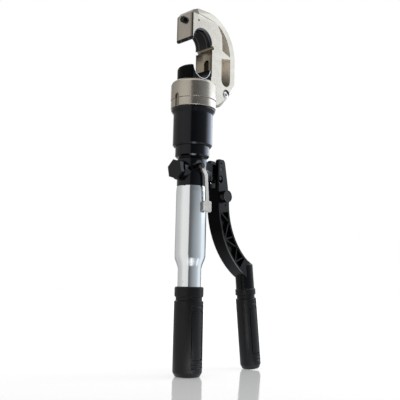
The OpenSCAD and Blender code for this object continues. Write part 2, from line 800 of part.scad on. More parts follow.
module ram() {
    color(gloss_black) difference() {
        turned([[0, ram_low_z], [piston_r - 1, ram_low_z], [piston_r, ram_low_z + 1.5],
            [piston_r, ram_shoulder_z], [ram_r, ram_shoulder_z], [ram_r, ram_top_z - 4.5],
            [ram_r - 1, ram_top_z - 2], [ram_r - 3.2, ram_top_z - 0.4],
            [ram_r - 5, ram_top_z], [0, ram_top_z]]);
        rod_y(die_r, -40, 40, 0, ram_top_z);
        for (a = [0, 180]) rotate([0, 0, a]) translate([-40, ram_flats / 2, collar_top_z - 2])
            cube([80, 40, ram_top_z]);
        rod_z(core_r, ram_low_z - 1, core_top_z);
        flat_ring(seal_in_r, bore_r + 2, seal_z, seal_z + seal_h);
        rod_x(key_r, key_in_x, key_out_x + 10, key_z);
    }
}

module piston_seal() {
    color(seal_brown) flat_ring(seal_in_r, piston_r, seal_z, seal_z + 3.4);
}

module backup_ring() {
    color(alu) flat_ring(seal_in_r, piston_r, seal_z + 3.4, seal_z + seal_h);
}

module ram_key() {
    color(steel) rod_x(key_r - fix_gap, key_in_x, key_out_x, key_z);
}

module spring_seat() {
    color(steel) difference() {
        rod_z(core_r - fix_gap, ram_low_z + 0.5, ram_low_z + 0.5 + seat_h);
        rod_z(rod_r + 0.6, ram_low_z - 1, ram_low_z + 10);
    }
}

module return_spring() {
    low = ram_low_z + 0.5 + seat_h;
    color(steel) translate([0, 0, low]) coil(return_coil_r, return_wire, rod_head_z - low, 11);
}

// The straight upper part of the arm, as a fork, in the XZ plane.
module fork_outline() {
    out_x = arm_in_x + arm_d;
    in_x = arm_in_x - 2.6;
    top_z = pivot_z + 15.5;
    polygon([[arm_in_x, arm_curve_z - 0.5], [out_x, arm_curve_z - 0.5], [out_x - 3, fork_low_z + 2],
        [pivot_x + 8.8, top_z - 7], [pivot_x + 7.8, top_z - 3], [pivot_x + 4.8, top_z],
        [in_x + 2.6, top_z], [in_x, top_z - 2.5], [in_x, fork_low_z + 2]]);
}

// A piece of the curved arm between two radii and two angles, given thickness along Y.
module arm_arc(r_in, r_out, a0, a1, y0, y1) {
    translate([arm_axis_x, 0, arm_curve_z]) rotate([90, 180 - a0, 0])
        rotate_extrude(angle = a1 - a0) translate([r_in, -y1]) square([r_out - r_in, y1 - y0]);
}

// A straight rib across the arm's side pocket, from one edge to the other.
module arm_rib(a_in, a_out, y0, y1) {
    r_edge = arm_curve_r - 3;
    r_low = arm_curve_r - arm_d + 3;
    p = [arm_axis_x - r_edge * cos(a_in), arm_curve_z - r_edge * sin(a_in)];
    q = [arm_axis_x - r_low * cos(a_out), arm_curve_z - r_low * sin(a_out)];
    d = q - p;
    slab(y0, y1) translate(p) rotate(atan2(d[1], d[0])) translate([-1, -1]) square([norm(d) + 2, 2]);
}

// The socket at the lower end of the arm that holds the handle tube.
module arm_socket() {
    on_grip2() {
        rod_z(socket_r, 0.5, socket_h);
        translate([0, 0, socket_h]) cylinder(h = 6, r1 = socket_r, r2 = socket_r - 6);
    }
}

module handle_arm() {
    web = 5.5;
    rib_angles = [[7, 16], [27, 16], [27, 29], [27, 39], [46, 39], [46, 50]];
    color(cast_black) difference() {
        union() {
            difference() {
                union() {
                    slab(-half_w, half_w) fork_outline();
                    arm_arc(arm_curve_r - arm_d, arm_curve_r, 0, arm_sweep, -half_w, half_w);
                }
                for (s = [-1, 1]) arm_arc(arm_curve_r - arm_d + 3.2, arm_curve_r - 3.2, 8, 52,
                    min(s * web, s * 20), max(s * web, s * 20));
            }
            for (s = [-1, 1]) for (g = rib_angles)
                arm_rib(g[0], g[1], min(s * 3, s * (half_w - 1)), max(s * 3, s * (half_w - 1)));
            arm_socket();
        }
        translate([20, -fork_half, fork_low_z]) cube([80, 2 * fork_half, 80]);
        rod_y(pivot_r + run_gap, -40, 40, pivot_x, pivot_z);
        slab(-40, 40) translate([link_x, plunger_z]) union() {
            circle(link_r + 1.4);
            translate([0, -3]) circle(link_r + 1.4);
            translate([-link_r - 1.4, -3]) square([2 * link_r + 2.8, 3]);
        }
        on_grip2() rod_z(handle_tube_r, -1, 24);
        rod_y(4, -40, 0, knob_x, knob_z);
        for (s = [-1, 1]) rod_y(1.6, s * half_w - 3, s * half_w + 3, pivot_x - 1, pivot_z + 9.5);
        for (s = [-1, 1]) rod_y(1.5, s * half_w - 3, s * half_w + 3, arm_in_x + 16, arm_curve_z - 5.5);
    }
}

module handle_tube() {
    color(steel) on_grip2() difference() {
        rod_z(handle_tube_r - fix_gap, 12 - grip2_len, 24);
        rod_z(handle_tube_r - 2.2, 11 - grip2_len, 25);
    }
}

module moving_grip() {
    color(rubber_black) on_grip2() translate([0, 0, -grip2_len])
        grip_shape(grip2_r, grip2_len, 9.5, handle_tube_r, 9, grip2_foot_in, 18);
}

module arm_knob() {
    color(cast_black) difference() {
        union() {
            rod_y(knob_r, -half_w - knob_out, -half_w, knob_x, knob_z);
            rod_y(4 - fix_gap, -half_w - 1, -1, knob_x, knob_z);
        }
        rod_y(knob_r - 1.3, -half_w - knob_out - 1, -half_w - knob_out + 0.6, knob_x, knob_z);
    }
}

module pump_plunger() {
    color(steel) difference() {
        union() {
            rod_x(plunger_r, plunger_in_x, link_x - 1, plunger_z);
            rod_y(plunger_eye_r, -plunger_r, plunger_r, link_x, plunger_z);
        }
        rod_y(link_r, -20, 20, link_x, plunger_z);
    }
}

module link_pin() {
    color(gloss_black) rod_y(link_r - fix_gap, -half_w + 0.8, half_w - 0.8, link_x, plunger_z);
}

// The bar of the release lever between two points of the XZ plane.
module lever_bar(p, q) {
    d = q - p;
    slab(-lever_y - lever_t, -lever_y) translate(p) rotate(atan2(d[1], d[0]))
        translate([0, -lever_w / 2]) square([norm(d), lever_w]);
}

module release_lever() {
    pivot = [release_x, release_z];
    bend = pivot + lever_bend;
    low = pivot + lever_low;
    paddle = low + [0.5, -paddle_drop];
    color(lever_grey) difference() {
        union() {
            rod_y(4.7, -lever_y - lever_t - 0.3, -hub_in_y, release_x, release_z);
            lever_bar(pivot - [0, 0.5], bend);
            rod_y(lever_w / 2 + 0.2, -lever_y - lever_t, -lever_y, bend[0], bend[1]);
            lever_bar(bend, low);
            slab(-lever_y - lever_t - 0.6, -lever_y) translate(paddle)
                round_rect(paddle_w, paddle_h, paddle_w / 5);
        }
        rod_y(valve_r - 0.8, -60, 0, release_x, release_z);
    }
}

module release_spindle() {
    tip_y = -10.2;
    color(steel) difference() {
        union() {
            rod_y(valve_r - run_gap, -hub_in_y, tip_y, release_x, release_z);
            rod_y(valve_r - 0.8 - fix_gap, -lever_y - lever_t - 0.3, 1 - hub_in_y, release_x, release_z);
            translate([release_x, tip_y, release_z]) rotate([-90, 0, 0])
                cylinder(h = 1.6, r1 = valve_r - 0.4, r2 = 1.9);
        }
        rod_y(1.5, -40, -lever_y + 8, release_x, release_z);
    }
}

module lever_screw() {
    head_y = -lever_y - lever_t - 0.3;
    color(gloss_black) union() {
        rod_y(1.5 - fix_gap, head_y - 0.5, -lever_y + 6, release_x, release_z);
        rod_y(3.6, head_y - 1, head_y, release_x, release_z);
    }
}

module die_button() {
    slot_h = cross_r + 0.4;
    color(gloss_black) difference() {
        union() {
            rod_x(button_r, button_out_x + 1, button_in_x, button_z);
            translate([button_out_x, 0, button_z]) rotate([0, 90, 0])
                cylinder(h = 1, r1 = button_r - 1, r2 = button_r);
        }
        translate([cross_x - slot_h - button_travel, -20, button_z - 1 - slot_h])
            cube([2 * slot_h + button_travel, 40, 2 * slot_h]);
        translate([catch_x - catch_r - 0.4 - button_travel, -catch_r - 0.4, button_z - 20])
            cube([2 * catch_r + 0.8 + button_travel, 2 * catch_r + 0.8, 40]);
    }
}

module button_spring() {
    color(steel) translate([button_in_x, 0, button_z]) rotate([0, 90, 0])
        coil(3.6, 0.5, button_bore_x - button_in_x, 4);
}

module die_catch() {
    color(steel) rod_z(catch_r, seat_z + die_r + 0.3, button_z + 1, catch_x);
}

main_grip();
reservoir_tube();
reservoir_plug();
fill_screw();
oil_bladder();
bladder_clamp();
suction_tube();
suction_strainer();
neck_screw();
pump_body();
tube_seal();
valve_plug();
plug_washer();
outlet_ball();
outlet_spring();
inlet_ball();
inlet_cage();
relief_ball();
relief_spring();
relief_screw();
plunger_seal();
plunger_gland();
ram_cylinder();
spring_rod();
swivel_wire();
pivot_pin();
c_head();
swivel_ring();
button_pin();
spine_screw();
ram();
piston_seal();
backup_ring();
ram_key();
spring_seat();
return_spring();
handle_arm();
handle_tube();
moving_grip();
arm_knob();
pump_plunger();
link_pin();
release_lever();
release_spindle();
lever_screw();
die_button();
button_spring();
die_catch();
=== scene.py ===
import json
import math

import bmesh
import bpy
from mathutils import Matrix, Vector


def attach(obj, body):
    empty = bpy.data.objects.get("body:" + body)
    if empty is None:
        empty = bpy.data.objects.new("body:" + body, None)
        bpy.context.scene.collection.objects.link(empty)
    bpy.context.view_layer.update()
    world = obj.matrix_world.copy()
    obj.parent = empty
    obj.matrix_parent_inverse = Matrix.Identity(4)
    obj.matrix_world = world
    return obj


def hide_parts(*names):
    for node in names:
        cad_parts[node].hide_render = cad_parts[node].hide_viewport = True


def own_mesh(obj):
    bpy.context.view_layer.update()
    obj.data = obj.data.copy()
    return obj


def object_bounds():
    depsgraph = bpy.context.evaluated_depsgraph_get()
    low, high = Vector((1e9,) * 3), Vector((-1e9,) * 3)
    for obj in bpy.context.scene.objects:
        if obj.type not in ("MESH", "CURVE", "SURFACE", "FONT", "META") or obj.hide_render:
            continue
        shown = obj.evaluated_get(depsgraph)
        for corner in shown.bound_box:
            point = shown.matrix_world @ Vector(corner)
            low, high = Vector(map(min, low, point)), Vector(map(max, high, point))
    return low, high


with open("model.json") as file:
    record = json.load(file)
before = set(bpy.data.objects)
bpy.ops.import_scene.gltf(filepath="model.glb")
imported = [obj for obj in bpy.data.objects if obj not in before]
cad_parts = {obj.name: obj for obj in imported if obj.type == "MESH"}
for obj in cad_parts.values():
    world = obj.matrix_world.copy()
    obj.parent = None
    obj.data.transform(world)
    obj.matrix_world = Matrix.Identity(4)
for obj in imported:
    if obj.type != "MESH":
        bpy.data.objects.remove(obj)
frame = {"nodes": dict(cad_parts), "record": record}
cad_low, cad_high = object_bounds()
nodes = frame["nodes"]
record = frame["record"]
mounts = {m["name"]: m for m in record["mounts"]}
SEAT_Z = mounts["upper_die_seat"]["pos_m"][2]
SADDLE_Z = mounts["ram_die_seat"]["pos_m"][2]
SEAT_R = mounts["upper_die_seat"]["dims"]["r_mm"] / 1000
HEAD_TOP = cad_high[2]


# camera, at the photograph's angle
FORWARD_AZIMUTH = math.radians(45.83)
FORWARD_PITCH = math.radians(7.98)
CAMERA_ROLL = math.radians(1.22)
CAMERA_PLACE = Vector((-0.6442, -0.6442, 0.127))
CAMERA_LENS = 55.8


def make_camera():
    forward = Vector((math.sin(FORWARD_AZIMUTH) * math.cos(FORWARD_PITCH),
                      math.cos(FORWARD_AZIMUTH) * math.cos(FORWARD_PITCH),
                      math.sin(FORWARD_PITCH)))
    right = Vector((math.cos(FORWARD_AZIMUTH), -math.sin(FORWARD_AZIMUTH), 0))
    up = right.cross(forward)
    rolled_right = right * math.cos(CAMERA_ROLL) + up * math.sin(CAMERA_ROLL)
    rolled_up = up * math.cos(CAMERA_ROLL) - right * math.sin(CAMERA_ROLL)
    data = bpy.data.cameras.new("camera")
    data.lens = CAMERA_LENS
    data.sensor_width = 36
    data.clip_start = 0.05
    data.clip_end = 60
    camera = bpy.data.objects.new("camera", data)
    bpy.context.scene.collection.objects.link(camera)
    turn = Matrix((rolled_right, rolled_up, -forward)).transposed().to_4x4()
    camera.matrix_world = Matrix.Translation(CAMERA_PLACE) @ turn
    bpy.context.scene.camera = camera


make_camera()


# material helpers
class Shader:
    """A material's node tree, with short calls for the nodes used here."""

    def __init__(self, name):
        self.material = bpy.data.materials.new(name)
        self.material.use_nodes = True
        self.tree = self.material.node_tree
        self.bsdf = self.tree.nodes["Principled BSDF"]
        self.coord = self.tree.nodes.new("ShaderNodeTexCoord")

    def node(self, kind, **values):
        made = self.tree.nodes.new(kind)
        for key, value in values.items():
            setattr(made, key, value)
        return made

    def link(self, out, into):
        self.tree.links.new(out, into)

    def noise(self, scale, detail=4.0, rough=0.55, stretch=(1, 1, 1)):
        mapping = self.node("ShaderNodeMapping")
        mapping.inputs["Scale"].default_value = stretch
        self.link(self.coord.outputs["Object"], mapping.inputs["Vector"])
        made = self.node("ShaderNodeTexNoise")
        made.inputs["Scale"].default_value = scale
        made.inputs["Detail"].default_value = detail
        made.inputs["Roughness"].default_value = rough
        self.link(mapping.outputs["Vector"], made.inputs["Vector"])
        return made.outputs["Fac"]

    def place(self):
        """The X, Y and Z of the point on the rigid piece, in the part's frame."""
        made = self.node("ShaderNodeSeparateXYZ")
        self.link(self.coord.outputs["Object"], made.inputs["Vector"])
        return made.outputs["X"], made.outputs["Y"], made.outputs["Z"]

    def spread(self, fac, low, high, start=0.3, end=0.7):
        made = self.node("ShaderNodeMapRange")
        made.inputs["From Min"].default_value = start
        made.inputs["From Max"].default_value = end
        made.inputs["To Min"].default_value = low
        made.inputs["To Max"].default_value = high
        self.link(fac, made.inputs["Value"])
        return made.outputs["Result"]

    def math(self, kind, a, b=None):
        made = self.node("ShaderNodeMath", operation=kind)
        for socket, value in zip(made.inputs, (a, b)):
            if value is None:
                continue
            if isinstance(value, (int, float)):
                socket.default_value = value
            else:
                self.link(value, socket)
        return made.outputs["Value"]

    def mix(self, fac, a, b):
        made = self.node("ShaderNodeMix", data_type="RGBA")
        for name, value in (("Factor", fac), ("A", a), ("B", b)):
            socket = next(s for s in made.inputs if s.name == name and s.enabled and
                          (s.type == "RGBA" or name == "Factor"))
            if isinstance(value, tuple):
                socket.default_value = (*value, 1)
            elif isinstance(value, (int, float)):
                socket.default_value = value
            else:
                self.link(value, socket)
        return next(s for s in made.outputs if s.type == "RGBA" and s.enabled)

    def above(self, value, level):
        return self.math("GREATER_THAN", value, level)

    def below(self, value, level):
        return self.math("LESS_THAN", value, level)

    def size(self, value):
        return self.math("ABSOLUTE", value)

    def both(self, a, b):
        return self.math("MULTIPLY", a, b)

    def either(self, a, b):
        return self.math("MAXIMUM", a, b)

    def without(self, mask):
        return self.spread(mask, 1, 0, 0, 1)

    def between(self, value, low, high):
        return self.both(self.above(value, low), self.below(value, high))

    def bump(self, height, distance, strength=1.0, over=None):
        made = self.node("ShaderNodeBump")
        made.inputs["Distance"].default_value = distance
        made.inputs["Strength"].default_value = strength
        self.link(height, made.inputs["Height"])
        if over is not None:
            self.link(over, made.inputs["Normal"])
        return made.outputs["Normal"]

    def edges(self, radius):
        """Near 1 on the outer edges of the shape, 0 on its flats."""
        bevel = self.node("ShaderNodeBevel", samples=6)
        bevel.inputs["Radius"].default_value = radius
        geometry = self.node("ShaderNodeNewGeometry")
        dot = self.node("ShaderNodeVectorMath", operation="DOT_PRODUCT")
        self.link(bevel.outputs["Normal"], dot.inputs[0])
        self.link(geometry.outputs["Normal"], dot.inputs[1])
        return self.spread(dot.outputs["Value"], 1.0, 0.0, 0.75, 0.98)

    def set(self, **values):
        for key, value in values.items():
            socket = self.bsdf.inputs[key.replace("_", " ")]
            if hasattr(value, "is_linked"):
                self.link(value, socket)
            elif isinstance(value, tuple):
                socket.default_value = (*value, 1)
            else:
                socket.default_value = value
        return self.material


# where the finishes, the painted shade and the painted highlight of the head change, in metres
FIT = 0.0002
LIP_UNDER, LIP_OVER = 0.0045, 0.0021
SEAT_RIM = 0.0026
SEAT_RIM_UNDER = 0.001
SEAT_MOUTH_Y = 0.0142
# the painted highlight band inside the black seat lies between these distances from the middle
SEAT_SHINE_Y = (0.0072, 0.0092)
POCKET_Y = 0.0166
POCKET_START = (0.0365, 0.4365)
POCKET_CENTRE = (0.018, SEAT_Z - 0.0125)
POCKET_R = 0.0535
POCKET_SQUEEZE = 1.15
LOWER_POCKET_X, LOWER_POCKET_TOP = 0.0645, SEAT_Z - 0.010
# the painted shade inside the pockets: darker towards the bottom, lighter above the crescent's edge
POCKET_SHADE_Z = (SEAT_Z - 0.052, SEAT_Z - 0.024)
CRESCENT_Z = SEAT_Z - 0.011
# the painted shade on the throat wall lies within these
THROAT_X, THROAT_Z, THROAT_Y = (0.012, 0.036), (0.44, SEAT_Z - 0.002), 0.0171
# the painted dark lines on the top bevel, then the painted shade on the front face and the roof
SHADE_LINE_Y = ((0.01705, 0.01747), (0.0132, 0.0138))
SHADE_LINE_Z, SHADE_LINE_START_X, SHADE_LINE_FADE_X = HEAD_TOP - 0.022, -0.0205, (0.014, 0.034)
FRONT_X, FRONT_Z, FRONT_FADE_Y = -0.0212, SEAT_Z - 0.006, (0.0115, 0.0166)
ROOF_X, ROOF_Z = -0.0095, HEAD_TOP - 0.0131
# the painted shade on the floor of the collar's slot
NOTCH_X, NOTCH_Y, NOTCH_TOP = (-0.0330, -0.0322), 0.0050, SEAT_Z - 0.05


def reach_from(s, x, z, centre_x, centre_z):
    """The distance from an axis along Y."""
    across = s.math("SUBTRACT", x, centre_x)
    up = s.math("SUBTRACT", z, centre_z)
    return s.math("SQRT", s.math("ADD", s.math("MULTIPLY", across, across), s.math("MULTIPLY", up, up)))


def seat_masks(s, x, side, z):
    """Where the blackened die seat and the lip of the upper jaw are, and a ring round the seat that is
    painted darker.
    """
    reach = reach_from(s, x, z, 0, SEAT_Z)
    wall = s.both(s.between(x, -SEAT_R - FIT, SEAT_R + FIT), s.between(z, SEAT_Z - LIP_UNDER, SEAT_Z))
    lip = s.both(s.below(x, -SEAT_R), s.between(z, SEAT_Z - LIP_UNDER, SEAT_Z + LIP_OVER))
    black = s.either(s.either(wall, lip), s.below(reach, SEAT_R + FIT))
    ring = s.both(s.below(reach, SEAT_R + SEAT_RIM), s.above(z, SEAT_Z - SEAT_RIM_UNDER))
    mouth = s.both(ring, s.above(side, SEAT_MOUTH_Y))
    return s.both(black, s.without(mouth)), ring


def pocket_mask(s, x, side, z):
    """The inside of the pockets in the sides of the spine."""
    from_centre = s.math("SUBTRACT", x, POCKET_CENTRE[0])
    squeezed = s.math("ADD", s.math("MULTIPLY", from_centre, POCKET_SQUEEZE), POCKET_CENTRE[0])
    upper = s.below(reach_from(s, squeezed, z, *POCKET_CENTRE), POCKET_R)
    lower = s.both(s.below(x, LOWER_POCKET_X), s.below(z, LOWER_POCKET_TOP))
    inside = s.both(s.above(x, POCKET_START[0]), s.above(z, POCKET_START[1]))
    return s.both(s.both(s.below(side, POCKET_Y), inside), s.either(upper, lower))


def throat_mask(s, x, side, z):
    """The machined wall of the throat, between the jaws; its darker brown is painted shade."""
    return s.both(s.both(s.between(x, *THROAT_X), s.between(z, *THROAT_Z)), s.below(side, THROAT_Y))


def shade_line_mask(s, x, side, z):
    """Painted dark lines along the edges of the top bevel, and painted shade towards the edges of the
    front face and on the roof.
    """
    top = s.both(s.above(z, SHADE_LINE_Z), s.spread(x, 0.85, 0.0, *SHADE_LINE_FADE_X))
    lines = s.either(s.between(side, *SHADE_LINE_Y[0]), s.between(side, *SHADE_LINE_Y[1]))
    # painted dark lines along the top bevel's edges
    shade_line = s.both(lines, s.both(top, s.above(x, SHADE_LINE_START_X)))
    front = s.both(s.below(x, FRONT_X), s.above(z, FRONT_Z))
    shaded = s.both(front, s.spread(side, 0.0, 0.8, *FRONT_FADE_Y))
    roof = s.both(s.below(x, ROOF_X), s.above(z, ROOF_Z))
    return s.either(shade_line, s.either(shaded, s.both(roof, 0.85)))


def notch_mask(s, x, side, z):
    """The slot at the front of the collar, whose floor is painted darker as shade."""
    return s.both(s.both(s.between(x, *NOTCH_X), s.below(side, NOTCH_Y)), s.below(z, NOTCH_TOP))


def nickel(name):
    """Satin plated steel, with a blackened die seat and a darker ring round it; its brown pockets, darker
    edges, dark lines, throat and slot are painted shade, and a band in the seat is a painted highlight.
    """
    s = Shader(name)
    x, y, z = s.place()
    side = s.size(y)
    black, rim = seat_masks(s, x, side, z)
    pocket = pocket_mask(s, x, side, z)
    plain = s.mix(s.spread(s.noise(38, 5), 0, 1), (0.405, 0.365, 0.315), (0.46, 0.42, 0.37))
    # painted shade: darker along the outer edges
    edge_shaded = s.mix(s.both(s.edges(0.0009), 0.6), plain, (0.17, 0.155, 0.135))
    # painted dark lines and painted shade on the front face and the roof
    shade_lined = s.mix(shade_line_mask(s, x, side, z), edge_shaded, (0.07, 0.063, 0.053))
    # painted shade: the throat wall darker brown
    throat_shaded = s.mix(throat_mask(s, x, side, z), shade_lined, (0.27, 0.235, 0.19))
    # painted shade: the floor of the collar's slot darker
    notch_shaded = s.mix(notch_mask(s, x, side, z), throat_shaded, (0.25, 0.225, 0.19))
    # painted shade: the pockets brown and not metallic, darker towards the bottom and lighter under the
    # crescent
    lower = s.mix(s.spread(z, 0, 1, *POCKET_SHADE_Z), (0.22, 0.205, 0.175), (0.98, 0.90, 0.79))
    brown = s.mix(s.above(z, CRESCENT_Z), lower, (0.80, 0.745, 0.655))
    # a darker ring painted round the die seat
    ringed = s.mix(rim, s.mix(pocket, notch_shaded, brown), (0.13, 0.13, 0.138))
    # painted highlight: a lighter band inside the black die seat
    dark = s.mix(s.between(side, *SEAT_SHINE_Y), (0.0022, 0.0022, 0.0025), (0.075, 0.076, 0.085))
    coarse = s.bump(s.noise(160, 4), 0.00025, 0.3)
    normal = s.bump(s.noise(900, 3, 0.6), 0.00006, 0.5, coarse)
    bare = s.both(s.without(black), s.without(pocket))
    return s.set(Base_Color=s.mix(black, ringed, dark), Metallic=bare, Normal=normal, IOR=1.3,
                 Roughness=s.spread(s.noise(75, 4), 0.22, 0.32))


# where the pump body's lug starts, and how soon it turns dull
PUMP_LUG_X = 0.0245
LUG_FADE = 0.003


def black_gloss(name, lug_x=None):
    """Glossy black; beyond lug_x, where there is a lug, the black is duller."""
    s = Shader(name)
    colour = s.mix(s.spread(s.noise(30, 4), 0, 1), (0.0012, 0.0012, 0.0018), (0.0024, 0.0024, 0.0033))
    worn = s.mix(s.both(s.edges(0.0006), 0.25), colour, (0.04, 0.04, 0.045))
    normal = s.bump(s.noise(420, 3), 0.00004, 0.3)
    if lug_x:
        s.set(Specular_IOR_Level=s.spread(s.place()[0], 0.5, 0.2, lug_x, lug_x + LUG_FADE))
    return s.set(Base_Color=worn, Roughness=s.spread(s.noise(55, 4), 0.12, 0.19), Normal=normal, IOR=1.37,
                 Specular_Tint=(0.90, 0.92, 1.0))


# the painted highlight, in bright metal, on the edge of the saddle, within and outside its radius, on the
# ram's two ends
SADDLE_SHINE = (SEAT_R - 0.0003, SEAT_R + 0.0006)
SADDLE_END_Y = 0.0163


def ram_black(name):
    """Dull black, with a painted highlight in bright metal on the edge round the saddle."""
    s = Shader(name)
    x, y, z = s.place()
    colour = s.mix(s.spread(s.noise(34, 4), 0, 1), (0.0012, 0.0012, 0.0016), (0.0022, 0.0022, 0.0028))
    # painted highlight: a bright metal line on the saddle's edge
    edge = s.between(reach_from(s, x, z, 0, SADDLE_Z), *SADDLE_SHINE)
    line = s.both(edge, s.above(s.size(y), SADDLE_END_Y))
    return s.set(Base_Color=s.mix(line, colour, (0.55, 0.57, 0.62)),
                 Metallic=s.spread(line, 0.0, 1.0, 0, 1), IOR=1.17, Specular_IOR_Level=0.3,
                 Roughness=s.spread(s.noise(60, 4), 0.22, 0.32),
                 Normal=s.bump(s.noise(420, 3), 0.00005, 0.3))


# the arm's curved back: its centre in X and Z, its radius, and half the arm's width; then where the
# painted shade on its back and the painted sheen on its rims lie
ARM_CENTRE = (0.1775, 0.258)
ARM_R = 0.130
ARM_HALF = 0.012
ARM_BACK_BAND = 0.0006
ARM_BACK_FADE_Z = (0.155, 0.215)
ARM_RIM_BAND = 0.0011
ARM_RIM_Y = ARM_HALF - 0.0008
ARM_RIM_FADE_Z = (0.17, 0.215)
ARM_RIM_END_Z = (0.148, 0.154)


def arm_back_mask(s):
    """The curved back of the arm and of its fork, made duller than its sides as painted shade."""
    x, _, z = s.place()
    reach = reach_from(s, x, z, *ARM_CENTRE)
    band = s.between(reach, ARM_R - ARM_BACK_BAND, ARM_R + ARM_BACK_BAND)
    curved = s.both(band, s.below(z, ARM_CENTRE[1]))
    faded = s.both(curved, s.spread(z, 0.25, 1.0, *ARM_BACK_FADE_Z))
    straight = s.both(s.below(x, ARM_CENTRE[0] - ARM_R + ARM_BACK_BAND), s.above(z, ARM_CENTRE[1]))
    return s.either(faded, straight)


def arm_rim_sheen_mask(s):
    """A painted sheen on the rims of the arm's curved back, from its middle down to the socket."""
    x, y, z = s.place()
    reach = reach_from(s, x, z, *ARM_CENTRE)
    band = s.between(reach, ARM_R - ARM_RIM_BAND, ARM_R + ARM_RIM_BAND)
    rim = s.both(band, s.above(s.size(y), ARM_RIM_Y))
    faded = s.both(rim, s.spread(z, 1.0, 0.0, *ARM_RIM_FADE_Z))
    return s.both(faded, s.spread(z, 0.0, 1.0, *ARM_RIM_END_Z))


def black_casting(name, ior, is_arm=False):
    """Cast black; on the arm, the back is made duller as painted shade, and its rims get a painted sheen.
    """
    s = Shader(name)
    colour = s.mix(s.spread(s.noise(45, 5), 0, 1), (0.0016, 0.0016, 0.002), (0.0034, 0.0034, 0.0042))
    worn = s.mix(s.both(s.edges(0.0010), 0.35), colour, (0.045, 0.047, 0.052))
    if is_arm:
        # painted sheen: lighter rims on the arm's back
        worn = s.mix(arm_rim_sheen_mask(s), worn, (0.23, 0.235, 0.25))
        # painted shade: the shine of the arm's back turned down
        s.set(Specular_IOR_Level=s.spread(arm_back_mask(s), 0.5, 0.08, 0, 1))
    coarse = s.bump(s.noise(240, 4), 0.00022, 0.3)
    normal = s.bump(s.noise(1300, 3), 0.00005, 0.4, coarse)
    return s.set(Base_Color=worn, Roughness=s.spread(s.noise(80, 4), 0.20, 0.30), Normal=normal, IOR=ior)


def rubber(name):
    s = Shader(name)
    cloud = s.noise(28, 5)
    colour = s.mix(s.spread(cloud, 0, 1), (0.0045, 0.0045, 0.0048), (0.008, 0.008, 0.0088))
    dusty = s.mix(s.both(s.edges(0.0010), 0.5), colour, (0.035, 0.035, 0.037))
    normal = s.bump(s.noise(1900, 3, 0.6), 0.00010, 0.4)
    return s.set(Base_Color=dusty, Roughness=s.spread(s.noise(60, 4), 0.33, 0.44), Normal=normal,
                 IOR=1.30, Sheen_Weight=0.02, Sheen_Roughness=0.5)


def aluminium(name):
    s = Shader(name)
    streak = s.noise(700, 3, 0.6, (1, 1, 0.015))
    cloud = s.noise(24, 4, 0.5, (1, 1, 0.4))
    colour = s.mix(s.spread(cloud, 0, 1), (0.80, 0.82, 0.845), (0.86, 0.88, 0.90))
    rough = s.math("ADD", s.spread(streak, 0.07, 0.12), s.spread(cloud, 0.0, 0.03))
    return s.set(Base_Color=colour, Metallic=1.0, Roughness=rough, Normal=s.bump(streak, 0.00002, 0.06))


# the painted highlight on the release lever's flank lies in front of this X and below this Z; its painted
# shade near the spindle is higher up
FLANK_X, FLANK_TOP = -0.0004, 0.253
SPINDLE_SHADE_Z = (0.2955, 0.3035)


def plated(name):
    """Plated steel of the release lever, with a painted highlight on its flank and painted shade near its
    spindle.
    """
    s = Shader(name)
    x, _, z = s.place()
    colour = s.mix(s.spread(s.noise(120, 4), 0, 1), (0.37, 0.347, 0.31), (0.445, 0.42, 0.384))
    worn = s.mix(s.both(s.edges(0.0006), 0.5), colour, (0.60, 0.58, 0.55))
    # painted highlight: the lever's flank much lighter
    flank = s.both(s.below(x, FLANK_X), s.below(z, FLANK_TOP))
    bright = s.mix(flank, worn, (0.80, 0.765, 0.71))
    # painted shade: dark brown near the spindle
    spindle_shaded = s.mix(s.spread(z, 0.0, 1.0, *SPINDLE_SHADE_Z), bright, (0.030, 0.022, 0.014))
    normal = s.bump(s.noise(500, 3), 0.00008, 0.4)
    return s.set(Base_Color=spindle_shaded, Metallic=1.0, Normal=normal,
                 Roughness=s.spread(s.noise(150, 3), 0.26, 0.38))


def turned_steel(name, low=(0.42, 0.41, 0.40), high=(0.53, 0.52, 0.51)):
    s = Shader(name)
    cloud = s.noise(90, 4)
    colour = s.mix(s.spread(cloud, 0, 1), low, high)
    normal = s.bump(s.noise(1400, 2), 0.00003, 0.4)
    return s.set(Base_Color=colour, Metallic=1.0, Normal=normal,
                 Roughness=s.spread(s.noise(130, 3), 0.24, 0.36))


def moulded_seal(name):
    s = Shader(name)
    cloud = s.noise(150, 4)
    colour = s.mix(s.spread(cloud, 0, 1), (0.20, 0.14, 0.095), (0.30, 0.215, 0.15))
    return s.set(Base_Color=colour, Roughness=s.spread(s.noise(200, 3), 0.42, 0.58),
                 Normal=s.bump(s.noise(1200, 3), 0.00004, 0.4))


finish_of_slot = {
    "black_rubber": rubber("black_rubber"),
    "bright_aluminium": aluminium("bright_aluminium"),
    "black_steel": black_gloss("black_steel"),
    "nickel_steel": nickel("nickel_steel"),
    "black_casting": black_casting("black_casting", 1.27),
    "plated_lever": plated("plated_lever"),
    "seal": moulded_seal("seal"),
    "steel": turned_steel("steel"),
}
finish_of_node = {
    "ram": ram_black("ram_black"),
    "pump_body": black_gloss("pump_black", PUMP_LUG_X),
    "handle_arm": black_casting("arm_black", 1.27, is_arm=True),
    "arm_knob": black_casting("knob_black", 1.33),
    # the plunger is darkened as painted shade
    "pump_plunger": turned_steel("oiled_steel", (0.05, 0.048, 0.045), (0.09, 0.088, 0.085)),
    "spine_screw": turned_steel("bright_steel", (0.66, 0.65, 0.63), (0.76, 0.75, 0.73)),
    "neck_screw": turned_steel("bright_steel_small", (0.66, 0.66, 0.66), (0.76, 0.76, 0.76)),
}
slot_of = {row["node"]: row["material_slot"] for row in record["subparts"]}
finish_of = {n: finish_of_node.get(n, finish_of_slot[slot]) for n, slot in slot_of.items()}
body_of = {n: b for b, members in record["behaviour"]["bodies"].items() for n in members}


# the solids, with their edges rounded
SAME_POINT = 2e-6
FLAT_ANGLE, SHARP_ANGLE, CREASE_ANGLE = math.radians(0.6), 28, math.radians(38)


